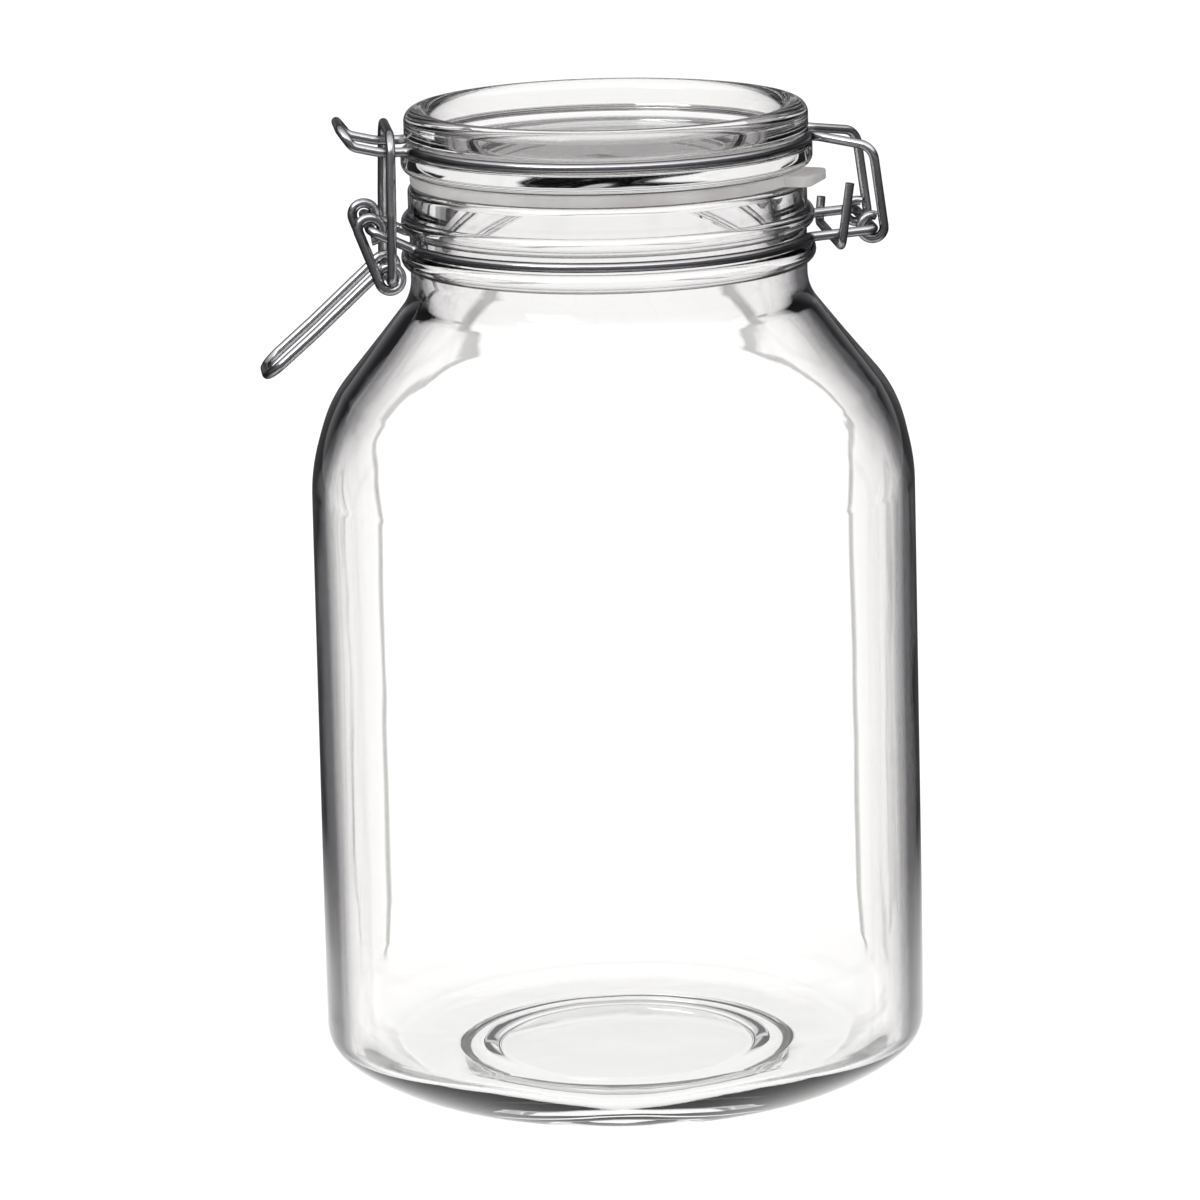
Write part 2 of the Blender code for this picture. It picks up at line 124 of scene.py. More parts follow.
# Neck wire
neck_wire_bend = 0.0022
latch_bar_reach = 0.0088
latch_bar_rise = 0.0052
hinge_bar_reach = 0.0130
hinge_bar_rise = 0.0012
hinge_leg_half_span = 0.0166

# Lid wire
lid_wire_bend = 0.0030
nose_half_span = 0.0105
nose_flat_reach = 0.0062
nose_flat_bend = 0.0120
nose_curl_reach = 0.0130
nose_curl_lift = 0.0016
nose_curl_bend = 0.0030
nose_end_reach = 0.0158
nose_end_lift = 0.0054
nose_end_bend = 0.0034
lid_leg_start_half_span = 0.0066
lid_leg_corner_drop = 0.0024
lid_leg_corner_bend = 0.0042
lid_leg_lean = math.radians(7.4)
curl_sweep = math.radians(300)

# Lever
lever_arm_half_span = 0.0116
eye_drop = 0.0124
eye_inset = 0.0046
lever_hook_sweep = math.radians(285)
lever_eye_sweep = math.radians(294)
handle_bend_reach = 0.0179
handle_bend_drop = 0.0125
handle_bend_radius = 0.0200
handle_end_reach = 0.0122
handle_end_drop = 0.0105
handle_end_bend = 0.0052

# Bail
bail_corner_bend = 0.0050
bail_top_inset = 0.0030
bail_straight_height = 0.0165
bail_waist_bend = 0.0120
bail_foot_bend = 0.0022
bail_lean = 0.0008
bail_pin_past_eye = 0.0010

# Tie
tie_distance = 0.0075
tie_bend = 0.0020
tie_near_height = 0.0152
tie_near_lean = 0.0022
tie_far_height = 0.0062
tie_far_lean = 0.0006

# Fineness
ring_steps = 192
outline_samples = 1440
lid_steps = 160
bead_steps = 10
groove_steps = 10
edge_steps = 4
upright_steps = 12
tab_corner_steps = 8
base_recess_steps = 6
foot_edge_steps = 5
foot_fillet_steps = 6
heel_steps = 18
shoulder_steps = 16
neck_fillet_steps = 8
floor_fillet_steps = 12
mouth_edge_steps = 8
bore_edge_steps = 6
lid_recess_steps = 10
lid_rim_steps = 12
flange_top_steps = 4
flange_edge_steps = 8
plug_steps = 6
bend_step = math.radians(7)
wire_ring_step = math.radians(2.5)
curl_step = math.radians(8)
wire_roundness = 6
sharp_angle = math.radians(40)
gasket_sharp_angle = math.radians(60)

# Glass look: a finish is a shader's own values, and the rest are noises, roughness and bumps
glass_finish = {"Transmission Weight": 1.0, "IOR": 1.5}
glass_smears = {"scale": 30, "detail": 4, "distortion": 0.6}
glass_roughness = (0.0, 0.03)
glass_waves = {"scale": 26, "detail": 2, "distortion": 0.3, "stretch": (1, 1, 0.5)}
glass_bump = {"strength": 0.25, "distance": 0.0012}
# Streaks shift where the painted shade on the glass falls
glass_streaks = {"scale": 60, "detail": 3, "distortion": 0.4}
streak_depth = 0.05
wall_stretch = (1, 1, 0.06)
lid_stretch = (0.3, 0.3, 1)

# Glass tones, painted shade in bands in place of dark surroundings seen through the glass, by how
# far the glass turns away: 0 facing the eye, 1 edge on
white = (1.0, 1.0, 1.0)
jar_outer_painted_shade_tones = [
    (0.20, (0.995, 0.995, 0.99)),
    (0.34, (0.985, 0.98, 0.975)),
    (0.365, (0.88, 0.87, 0.87)),
    (0.39, (0.97, 0.965, 0.96)),
    (0.46, (0.90, 0.89, 0.89)),
    (0.53, (0.60, 0.585, 0.59)),
    (0.60, (0.16, 0.155, 0.16)),
    (0.68, (0.02, 0.019, 0.021)),
    (1.0, (0.006, 0.006, 0.007)),
]
jar_inner_painted_shade_tones = [
    (0.25, (0.995, 0.995, 0.99)),
    (0.465, (0.98, 0.975, 0.97)),
    (0.485, (0.20, 0.195, 0.19)),
    (0.52, (0.24, 0.235, 0.23)),
    (0.55, (0.86, 0.85, 0.845)),
    (0.75, (0.78, 0.77, 0.765)),
    (1.0, (0.45, 0.44, 0.44)),
]
lid_painted_shade_tones = [
    (0.20, (0.88, 0.875, 0.87)),
    (0.45, (0.78, 0.77, 0.77)),
    (0.70, (0.50, 0.485, 0.49)),
    (1.0, (0.10, 0.10, 0.105)),
]
# The jar's glass is darker from the neck up, by this tone
jar_neck_tone = (0.90, 0.895, 0.90)
neck_tone_fade = 0.02
shadow_tone = (0.97, 0.97, 0.97)

# Clear glass, where the painted shade is left off: from none to all of it, by the normal's rise
# and by height over the base and foot
clear_tone = (0.985, 0.98, 0.98)
base_clear_height = 0.024
flat_fade = (0.30, 0.75)
base_clear_fade = (1.2 * base_clear_height, 0.8 * base_clear_height)
foot_clear_fade = (1.6 * foot_height, 1.1 * foot_height)

# Steel look
steel_finish = {"Metallic": 1.0}
# Painted shade on the steel, by how far it turns away: bright facing the eye, dark at the edges
steel_painted_shade_tones = [
    (0.0, (0.74, 0.73, 0.75)),
    (0.22, (0.42, 0.41, 0.43)),
    (0.5, (0.12, 0.12, 0.125)),
    (1.0, (0.02, 0.02, 0.022)),
]
steel_patches = {"scale": 260, "detail": 5}
steel_roughness = (0.12, 0.32)
steel_scratches = {"scale": 2600, "detail": 3}
steel_bump = {"strength": 0.2, "distance": 0.0001}

# Rubber look
rubber_finish = {
    "IOR": 1.42,
    "Transmission Weight": 0.55,
    "Subsurface Weight": 0.25,
    "Subsurface Radius": (0.004, 0.0037, 0.0035),
    "Subsurface Scale": 1.0,
}
rubber_tones = [(0.3, (0.66, 0.64, 0.63)), (0.7, (0.80, 0.785, 0.775))]
rubber_clouds = {"scale": 90, "detail": 4}
rubber_roughness = (0.28, 0.42)
rubber_grain = {"scale": 3200, "detail": 2}
rubber_bump = {"strength": 0.15, "distance": 0.0001}

# Floor with a painted dark reflection: what gloss reflects of it turns dark over a stretch away
# from the jar
floor_radius = 30
floor_sides = 64
floor_drop = 0.00005
floor_finish = {"Roughness": 0.9, "Specular IOR Level": 0.1}
floor_grain = {"scale": 300, "detail": 3}
floor_tones = [(0.3, (0.95, 0.95, 0.945)), (0.7, (0.965, 0.965, 0.96))]
floor_painted_reflection_tone = (0.05, 0.05, 0.052)
floor_painted_reflection_fade = (1.3 * heel_half, 4 * heel_half)

# Surroundings, with tones by height: 0 level with the eye and below, 1 overhead
world_strength = 1.1
gloss_tones = [
    (0.0, (0.30, 0.30, 0.31)),
    (0.18, (0.06, 0.06, 0.065)),
    (0.42, (0.12, 0.12, 0.13)),
    (0.62, (1.5, 1.5, 1.5)),
    (1.0, (1.2, 1.2, 1.2)),
]
through_tones = [
    (0.16, white),
    (0.34, (0.44, 0.44, 0.445)),
    (0.70, (0.52, 0.52, 0.525)),
    (1.0, white),
]
key_light_spot = (-1.2, -1.4, 1.7)
key_light_size = 1.2
key_light_power = 14

# Camera, with its focal length as a share of the picture's width
camera_azimuth = math.radians(-0.6)
camera_distance = 1.3751
camera_height = 0.4362
camera_side = -0.0041
camera_pitch = 0.2242
camera_roll = -0.0237
focal_share = 5752.5 / 1200
sensor_width = 36
clip_start = camera_distance / 10
clip_end = camera_distance * 40

# Places that follow from the sizes above
corner_blend_height = shoulder_height - corner_blend_drop
neck_height = shoulder_height + shoulder_rise
lower_bead_height = neck_height + lower_bead_rise
upper_bead_height = lower_bead_height + upper_bead_rise
mouth_height = upper_bead_height + mouth_rise
neck_wire_height = (lower_bead_height + upper_bead_height) / 2
neck_ring_radius = neck_radius + seat_gap + neck_wire_radius
neck_bore = neck_radius - neck_wall
lower_bead_radius = neck_radius + lower_bead_swell
upper_bead_radius = neck_radius + upper_bead_swell
throat_radius = neck_radius + throat_swell
lid_flange_radius = neck_radius + lid_flange_overhang
lid_rim_radius = neck_radius + lid_rim_overhang
plug_radius = neck_bore - plug_play
lid_recess_radius = lid_rim_radius - lid_rim_width - recess_draft
foot_radius = lid_recess_radius - stacking_play
heel_height = foot_height + heel_radius
gasket_radius = throat_radius - gasket_inset
gasket_bore = plug_radius + gasket_play
gasket_height = mouth_height + seat_gap
lid_seat_height = gasket_height + gasket_thickness + seat_gap
groove_radius = lid_wire_radius + seat_gap
lid_wire_height = lid_seat_height + lid_flange_thickness + groove_radius
lid_ring_radius = lid_rim_radius
lid_height = lid_wire_height + groove_radius + lid_rim_rise
curl_radius = neck_wire_radius + running_gap + lid_wire_radius
hook_radius = neck_wire_radius + running_gap + lever_wire_radius
eye_radius = bail_wire_radius + running_gap + lever_wire_radius
lid_leg_half_span = hinge_leg_half_span - neck_wire_radius - running_gap - lid_wire_radius
latch_leg_half_span = lever_arm_half_span + lever_wire_radius + running_gap + neck_wire_radius
bail_half_span = latch_leg_half_span + neck_wire_radius + running_gap + bail_wire_radius
handle_half_span = lever_arm_half_span - 2 * lever_wire_radius - running_gap
pivot_x = -(neck_ring_radius + latch_bar_reach)
pivot_z = neck_wire_height + latch_bar_rise
eye_x = pivot_x + eye_inset
eye_z = pivot_z - eye_drop
hinge_x = neck_ring_radius + hinge_bar_reach
hinge_z = neck_wire_height + hinge_bar_rise
handle_tip_x = eye_x - handle_bend_reach - handle_end_reach
handle_corner_reach = -(handle_tip_x + handle_end_bend)
handle_corner_span = handle_half_span - handle_end_bend
turned_reach = handle_corner_reach * math.cos(closure_turn)
turned_span = handle_corner_span * math.sin(closure_turn)
lever_reach = turned_reach + turned_span + handle_end_bend + lever_wire_radius
axis_x = (lever_reach - heel_half) / 2


def rounded_path(corners):
    """Turn (across, height, radius, steps) corners into points, with an arc at each radius."""
    points = []
    for index, (across, height, radius, steps) in enumerate(corners):
        here = Vector((across, height))
        if radius == 0:
            points.append(here)
            continue
        into = (here - Vector(corners[index - 1][:2])).normalized()
        out = (Vector(corners[index + 1][:2]) - here).normalized()
        turn = into.angle(out)
        reach = radius * math.tan(turn / 2)
        side = 1 if into.x * out.y - into.y * out.x > 0 else -1
        centre = here - into * reach + Vector((-into.y, into.x)) * side * radius
        start = (here - into * reach) - centre
        for step in range(steps + 1):
            angle = side * turn * step / steps
            points.append(centre + Vector((
                start.x * math.cos(angle) - start.y * math.sin(angle),
                start.x * math.sin(angle) + start.y * math.cos(angle),
            )))
    return points


def bent_path(corners):
    """Turn (point, bend radius) corners in space into wire points with round bends."""
    points = []
    for index, (here, radius) in enumerate(corners):
        here = Vector(here)
        if radius == 0:
            points.append(here)
            continue
        into = (here - Vector(corners[index - 1][0])).normalized()
        out = (Vector(corners[index + 1][0]) - here).normalized()
        turn = into.angle(out)
        reach = radius * math.tan(turn / 2)
        inward = (out - into * into.dot(out)).normalized()
        centre = here - into * reach + inward * radius
        steps = max(2, math.ceil(turn / bend_step))
        for step in range(steps + 1):
            angle = turn * step / steps
            forward, outward = into * radius * math.sin(angle), inward * radius * math.cos(angle)
            points.append(centre + forward - outward)
    return points


def smooth_share(value):
    """0 below 0, 1 above 1 and a smooth step between them."""
    share = min(max(value, 0.0), 1.0)
    return share * share * (3 - 2 * share)


def finish_mesh(mesh, name, material, turn=closure_turn, sharp=sharp_angle):
    """Smooth-shaded object from a bmesh in coordinates about the jar's axis."""
    bmesh.ops.recalc_face_normals(mesh, faces=mesh.faces)
    data = bpy.data.meshes.new(name)
    mesh.to_mesh(data)
    mesh.free()
    data.shade_smooth()
    data.set_sharp_from_angle(angle=sharp)
    return place(data, name, material, turn)


def place(data, name, material, turn=closure_turn):
    """Add mesh or curve data at the jar's axis, turned about it."""
    made = bpy.data.objects.new(name, data)
    made.location = (axis_x, 0, 0)
    made.rotation_euler.z = turn
    data.materials.append(material)
    bpy.context.scene.collection.objects.link(made)
    return made


def ring_outline(half, corner):
    """Evenly spaced points round a rounded square, which is a circle where corner equals half."""
    flat = half - corner
    dense = []
    for step in range(outline_samples + 1):
        turn = 2 * math.pi * step / outline_samples
        spot = []
        for part in (math.cos(turn), math.sin(turn)):
            spread = math.copysign(abs(part) ** squareness_power, part)
            spot.append(spread * flat + corner * part)
        dense.append(Vector(spot))
    along = [0.0]
    for before, after in zip(dense, dense[1:]):
        along.append(along[-1] + (after - before).length)
    points = []
    index = 0
    for step in range(ring_steps):
        target = along[-1] * step / ring_steps
        while along[index + 1] < target:
            index += 1
        share = (target - along[index]) / (along[index + 1] - along[index])
        points.append(dense[index].lerp(dense[index + 1], share))
    return points


def corner_at(half, height, inset, low, high, top):
    """Corner radius at a height: round below low and above top, square from high upwards."""
    square = body_corner_radius - inset
    heel_share = 1 - smooth_share((height - low) / (high - low))
    shoulder_share = smooth_share((height - corner_blend_height) / (top - corner_blend_height))
    share = max(heel_share, shoulder_share)
    return min(square + (half - square) * share, half)


def bead(radius, height, side_radius):
    """A rounded bead on the neck, as profile points from its lower to its upper edge."""
    points = []
    for step in range(bead_steps + 1):
        angle = math.pi * (step / bead_steps - 1 / 2)
        swell = (radius - side_radius) * math.cos(angle)
        points.append((side_radius + swell, height + bead_thickness / 2 * math.sin(angle)))
    return points


def upright_run(start, end):
    """Evenly spaced points between two profile points, without the ends."""
    return [start.lerp(end, step / upright_steps) for step in range(1, upright_steps)]


def outer_profile():
    """Profile points up the outside, from the foot's inner edge to the lower bead."""
    middle_half = (shoulder_half + 2 * neck_radius) / 3
    middle_height = (shoulder_height + 2 * neck_height) / 3
    under = rounded_path([
        (foot_radius - foot_ring_width, 0, 0, 0),
        (foot_radius, 0, foot_rounding, foot_edge_steps),
        (foot_radius, foot_height, foot_fillet, foot_fillet_steps),
        (heel_half, foot_height, heel_radius, heel_steps),
        (shoulder_half, shoulder_height, 0, 0),
    ])[:-1]
    above = rounded_path([
        (heel_half, heel_height, 0, 0),
        (shoulder_half, shoulder_height, shoulder_radius, shoulder_steps),
        (middle_half, middle_height, 0, 0),
        (neck_radius, neck_height, neck_fillet, neck_fillet_steps),
        (neck_radius, lower_bead_height - bead_thickness / 2, 0, 0),
    ])[1:]
    return under + upright_run(under[-1], above[0]) + above


def inner_profile(inner_half):
    """Profile points down the inside, from the bore to the floor, and the bore's lower end."""
    slope = math.atan2(neck_height - shoulder_height, shoulder_half - neck_radius)
    inner_shoulder = shoulder_half - body_wall
    lift = body_wall * (1 - math.sin(slope)) * math.tan(slope) - body_wall * math.cos(slope)
    run = (shoulder_half - body_wall * math.sin(slope) - neck_bore) / math.cos(slope)
    bore_start = shoulder_height - body_wall * math.cos(slope) + run * math.sin(slope)
    shoulder = (inner_shoulder, shoulder_height + lift)
    above = rounded_path([
        (neck_bore, mouth_height - bore_rounding, 0, 0),
        (neck_bore, bore_start, neck_fillet, neck_fillet_steps),
        (*shoulder, shoulder_radius - body_wall, shoulder_steps),
        (inner_half, floor_height, 0, 0),
    ])[:-1]
    below = rounded_path([
        (*shoulder, 0, 0),
        (inner_half, floor_height, floor_fillet, floor_fillet_steps),
        (foot_radius, floor_height, 0, 0),
    ])[1:]
    return above + upright_run(above[-1], below[0]) + below, bore_start


def jar_rings():
    """Rings of the body up the outside and down the inside, and how many of them are outside."""
    foot_inner = foot_radius - foot_ring_width
    inner_half = heel_half - body_wall
    floor_top = floor_height + floor_fillet
    base = rounded_path([
        (foot_inner / 3, base_recess_depth, 0, 0),
        (foot_inner - base_recess_slope, base_recess_depth, base_recess_depth, base_recess_steps),
        (foot_inner, 0, 0, 0),
    ])[:-1]
    rings = [(across, height, across) for across, height in base]
    for across, height in outer_profile():
        inset = heel_half - across if height < heel_height else 0
        corner = corner_at(across, height, inset, foot_height, heel_height, neck_height)
        rings.append((across, height, corner))
    lower_bead = bead(lower_bead_radius, lower_bead_height, neck_radius)
    upper_bead = bead(upper_bead_radius, upper_bead_height, neck_radius)
    mouth = rounded_path([
        (throat_radius, upper_bead_height + bead_thickness / 2, 0, 0),
        (throat_radius, mouth_height, mouth_rounding, mouth_edge_steps),
        (neck_bore, mouth_height, bore_rounding, bore_edge_steps),
        (neck_bore, mouth_height - 2 * bore_rounding, 0, 0),
    ])
    for across, height in lower_bead[1:] + upper_bead[:-1] + mouth[:-1]:
        rings.append((across, height, across))
    outer_count = len(rings)
    inside, bore_start = inner_profile(inner_half)
    for across, height in inside[1:]:
        inset = inner_half - across if height < floor_top else 0
        corner = corner_at(across, height, body_wall + inset, floor_height, floor_top, bore_start)
        rings.append((across, height, corner))
    rings.append((foot_radius / 2, floor_height, foot_radius / 2))
    return rings, outer_count


def glass_jar(outer_material, inner_material):
    """Body with its own material on the inner wall and floor."""
    mesh = bmesh.new()
    rows = []
    rings, outer_count = jar_rings()
    for half, height, corner in rings:
        rows.append([mesh.verts.new((*point, height)) for point in ring_outline(half, corner)])
    for index, (lower, upper) in enumerate(zip(rows, rows[1:])):
        for step in range(ring_steps):
            following = (step + 1) % ring_steps
            face = mesh.faces.new((lower[step], lower[following], upper[following], upper[step]))
            face.material_index = 1 if index >= outer_count else 0
    mesh.faces.new(list(reversed(rows[0])))
    mesh.faces.new(rows[-1]).material_index = 1
    made = finish_mesh(mesh, "jar_glass", outer_material, turn=0)
    made.data.materials.append(inner_material)
    return made


def lid_profile():
    """Lid outline from the middle of the recess, over the rim and groove, to the underside."""
    recess_floor = lid_height - recess_depth
    rim_inner = lid_rim_radius - lid_rim_width
    underside = recess_floor - lid_centre_thickness
    plug_inner = plug_radius - plug_width
    plug_bottom = lid_seat_height - plug_depth
    flange_top = lid_seat_height + lid_flange_thickness
    top = rounded_path([
        (0, recess_floor, 0, 0),
        (rim_inner - recess_draft, recess_floor, recess_fillet, lid_recess_steps),
        (rim_inner, lid_height, lid_rim_rounding, lid_rim_steps),
        (lid_rim_radius, lid_height, lid_rim_rounding, lid_rim_steps),
        (lid_rim_radius, lid_wire_height + groove_radius, 0, 0),
    ])
    groove = []
    for step in range(groove_steps + 1):
        angle = groove_start + groove_sweep * step / groove_steps
        groove.append((
            lid_ring_radius + groove_radius * math.cos(angle),
            lid_wire_height + groove_radius * math.sin(angle),
        ))
    bottom = rounded_path([
        (lid_ring_radius, lid_wire_height - groove_radius, 0, 0),
        (lid_flange_radius, flange_top, lid_flange_rounding / 4, flange_top_steps),
        (lid_flange_radius, lid_seat_height, lid_flange_rounding, flange_edge_steps),
        (plug_radius, lid_seat_height, 0, 0),
        (plug_radius, plug_bottom, plug_rounding, plug_steps),
        (plug_inner, plug_bottom, plug_rounding, plug_steps),
        (plug_inner - recess_draft, underside, recess_fillet / 2, plug_steps),
        (0, underside, 0, 0),
    ])
    return [tuple(point) for point in top] + groove + [tuple(point) for point in bottom[1:]]


def glass_lid(material):
    """Lid turned from its profile, with flat discs in the recess and underneath."""
    mesh = bmesh.new()
    profile = lid_profile()
    rows = []
    for across, height in profile[1:-1]:
        row = []
        for step in range(lid_steps):
            turn = 2 * math.pi * step / lid_steps
            row.append(mesh.verts.new((across * math.cos(turn), across * math.sin(turn), height)))
        rows.append(row)
    for upper, lower in zip(rows, rows[1:]):
        for step in range(lid_steps):
            following = (step + 1) % lid_steps
            mesh.faces.new((upper[step], upper[following], lower[following], lower[step]))
    mesh.faces.new(rows[0])
    mesh.faces.new(list(reversed(rows[-1])))
    return finish_mesh(mesh, "lid_glass", material)


def gasket_outline(grow):
    """Outer and inner outline of the gasket with its tab, drawn in by grow on every edge."""
    outer_tab = gasket_radius + tab_reach
    half_angle = math.asin(tab_half_width / gasket_radius)
    sweep = 2 * (math.pi - half_angle)
    radius = gasket_radius - grow
    outer = []
    for step in range(lid_steps + 1):
        angle = tab_angle + half_angle + sweep * step / lid_steps
        outer.append(Vector((radius * math.cos(angle), radius * math.sin(angle))))
    along = Vector((math.cos(tab_angle), math.sin(tab_angle)))
    across = Vector((-along.y, along.x))
    corner = outer_tab - tab_corner_radius
    inset = tab_half_width - tab_corner_radius
    round_off = tab_corner_radius - grow
    for side in (-1, 1):
        for step in range(tab_corner_steps + 1):
            turn = math.pi / 2 * step / tab_corner_steps
            if side < 0:
                turn = math.pi / 2 - turn
            reach = corner + round_off * math.cos(turn)
            width = side * (inset + round_off * math.sin(turn))
            outer.append(along * reach + across * width)
    inner = []
    for step in range(lid_steps):
        angle = 2 * math.pi * step / lid_steps
        inner.append(Vector((math.cos(angle), math.sin(angle))) * (gasket_bore + grow))
    return outer, inner


def gasket(material):
    """Moulded flat ring with rounded edges and a pull tab."""
    mesh = bmesh.new()
    rounding = gasket_edge_rounding
    levels = []
    for step in range(edge_steps + 1):
        turn = math.pi / 2 * step / edge_steps
        levels.append((rounding * (1 - math.sin(turn)), rounding * (1 - math.cos(turn))))
    levels += [(grow, gasket_thickness - lift) for grow, lift in reversed(levels)]
    rows = []
    for grow, lift in levels:
        outer, inner = gasket_outline(grow)
        rows.append((
            [mesh.verts.new((*point, gasket_height + lift)) for point in outer],
            [mesh.verts.new((*point, gasket_height + lift)) for point in inner],
        ))
    for lower, upper in zip(rows, rows[1:]):
        for low, high in zip(lower, upper):
            for step in range(len(low)):
                following = (step + 1) % len(low)
                mesh.faces.new((low[step], low[following], high[following], high[step]))
    mesh.edges.ensure_lookup_table()
    for row in (rows[0], rows[-1]):
        edges = []
        for loop in row:
            for step in range(len(loop)):
                edges.append(mesh.edges.get((loop[step], loop[(step + 1) % len(loop)])))
        bmesh.ops.triangle_fill(mesh, edges=edges, use_beauty=True)
    return finish_mesh(mesh, "gasket_ring", material, sharp=gasket_sharp_angle)


def wire(name, points, radius, material, closed=False):
    """Round wire along the points, with flat ends."""
    curve = bpy.data.curves.new(name, "CURVE")
    curve.dimensions = "3D"
    curve.bevel_depth = radius
    curve.bevel_resolution = wire_roundness
    curve.use_fill_caps = not closed
    spline = curve.splines.new("POLY")
    spline.points.add(len(points) - 1)
    for spot, point in zip(spline.points, points):
        spot.co = (*point, 1)
    spline.use_cyclic_u = closed
    spline.use_smooth = True
    return place(curve, name, material)


def ring_arc(radius, height, start_along, end_along, side):
    """Points round one side of a wire ring, from the hinge end to the latch end."""
    start = math.asin(start_along / radius)
    end = math.pi - math.asin(end_along / radius)
    count = math.ceil((end - start) / wire_ring_step)
    corners = []
    for step in range(count + 1):
        angle = start + (end - start) * step / count
        corners.append(((radius * math.cos(angle), side * radius * math.sin(angle), height), 0))
    return corners


def neck_wire(material):
    """Closed ring round the neck with a latch bar at one side and a hinge bar at the other."""
    slack = 2 * neck_wire_bend
    latch_foot = math.sqrt(neck_ring_radius ** 2 - latch_leg_half_span ** 2)
    hinge_foot = math.sqrt(neck_ring_radius ** 2 - hinge_leg_half_span ** 2)
    corners = []
    for side in (1, -1):
        half = ring_arc(neck_ring_radius, neck_wire_height,
                        hinge_leg_half_span + slack, latch_leg_half_span + slack, side)
        latch = [
            ((-latch_foot, side * latch_leg_half_span, neck_wire_height), neck_wire_bend),
            ((pivot_x, side * latch_leg_half_span, pivot_z), neck_wire_bend),
        ]
        hinge = [
            ((hinge_x, side * hinge_leg_half_span, hinge_z), neck_wire_bend),
            ((hinge_foot, side * hinge_leg_half_span, neck_wire_height), neck_wire_bend),
        ]
        run = hinge + half + latch
        corners += run if side > 0 else list(reversed(run))
    first = ((hinge_x, 0, hinge_z), 0)
    points = bent_path([first] + corners + [first])
    return wire("neck_ring_wire", points[:-1], neck_wire_radius, material, closed=True)


def hinge_tie(material):
    """Staple under both hinge legs, with its ends turned up outside them."""
    span = hinge_leg_half_span + neck_wire_radius + running_gap + tie_wire_radius
    foot = math.sqrt(neck_ring_radius ** 2 - hinge_leg_half_span ** 2)
    tie_x = foot + tie_distance
    leg_height = neck_wire_height + hinge_bar_rise * tie_distance / (hinge_x - foot)
    bottom = leg_height - neck_wire_radius - running_gap - tie_wire_radius
    points = bent_path([
        ((tie_x + tie_near_lean, -span, bottom + tie_near_height), 0),
        ((tie_x, -span, bottom), tie_bend),
        ((tie_x, span, bottom), tie_bend),
        ((tie_x + tie_far_lean, span, bottom + tie_far_height), 0),
    ])
    return wire("tie_wire", points, tie_wire_radius, material)


def curl(side):
    """Hinge curl of one lid wire leg, turning round the hinge bar and stepping inwards."""
    step_in = 2 * lid_wire_radius + running_gap
    count = math.ceil(curl_sweep / curl_step)
    points = []
    for step in range(count + 1):
        turn = curl_sweep * step / count
        angle = lid_leg_lean - turn
        points.append(Vector((
            hinge_x + curl_radius * math.cos(angle),
            side * (lid_leg_half_span - step_in * turn / (2 * math.pi)),
            hinge_z + curl_radius * math.sin(angle),
        )))
    return points


def lid_wire(material):
    """Wire round the lid's groove: hinge curls at one side, the nose for the bail at the other."""
    slack = 1.5 * lid_wire_bend
    hinge_foot = math.sqrt(lid_ring_radius ** 2 - lid_leg_start_half_span ** 2)
    nose_foot = math.sqrt(lid_ring_radius ** 2 - nose_half_span ** 2)
    tangent = Vector((
        hinge_x + curl_radius * math.cos(lid_leg_lean),
        hinge_z + curl_radius * math.sin(lid_leg_lean),
    ))
    corner_height = lid_wire_height - lid_leg_corner_drop
    rise = corner_height - tangent.y
    corner_x = tangent.x - rise * math.tan(lid_leg_lean)
    corners = []
    for side in (1, -1):
        leg = [
            (curl(side)[0], 0),
            ((corner_x, side * lid_leg_half_span, corner_height), lid_leg_corner_bend),
            ((hinge_foot, side * lid_leg_start_half_span, lid_wire_height), lid_wire_bend),
        ]
        half = ring_arc(lid_ring_radius, lid_wire_height,
                        lid_leg_start_half_span + slack, nose_half_span + slack, side)
        nose = [((-nose_foot, side * nose_half_span, lid_wire_height), lid_wire_bend)]
        for reach, lift, bend in (
            (nose_flat_reach, 0, nose_flat_bend),
            (nose_curl_reach, nose_curl_lift, nose_curl_bend),
            (nose_end_reach, nose_end_lift, nose_end_bend),
        ):
            here = (-(lid_ring_radius + reach), side * nose_half_span, lid_wire_height + lift)
            nose.append((here, bend))
        run = leg + half + nose
        corners += run if side > 0 else list(reversed(run))
    points = list(reversed(curl(1)))[:-1] + bent_path(corners) + curl(-1)[1:]
    return wire("lid_ring_wire", points, lid_wire_radius, material)


def lever_half(side):
    """One side of the lever: hook round the latch bar, arm, eye, then the handle's wire."""
    hook_to_eye = Vector((eye_x - pivot_x, eye_z - pivot_z))
    arm_angle = math.atan2(hook_to_eye.y, hook_to_eye.x) - math.pi / 2
    points = []
    count = math.ceil(lever_hook_sweep / curl_step)
    for step in range(count + 1):
        angle = arm_angle - lever_hook_sweep * (1 - step / count)
        points.append(Vector((
            pivot_x + hook_radius * math.cos(angle),
            side * lever_arm_half_span,
            pivot_z + hook_radius * math.sin(angle),
        )))
    count = math.ceil(lever_eye_sweep / curl_step)
    step_in = lever_arm_half_span - handle_half_span
    for step in range(count + 1):
        share = step / count
        angle = arm_angle + lever_eye_sweep * share
        points.append(Vector((
            eye_x + eye_radius * math.cos(angle),
            side * (lever_arm_half_span - step_in * smooth_share(share)),
            eye_z + eye_radius * math.sin(angle),
        )))
    return points


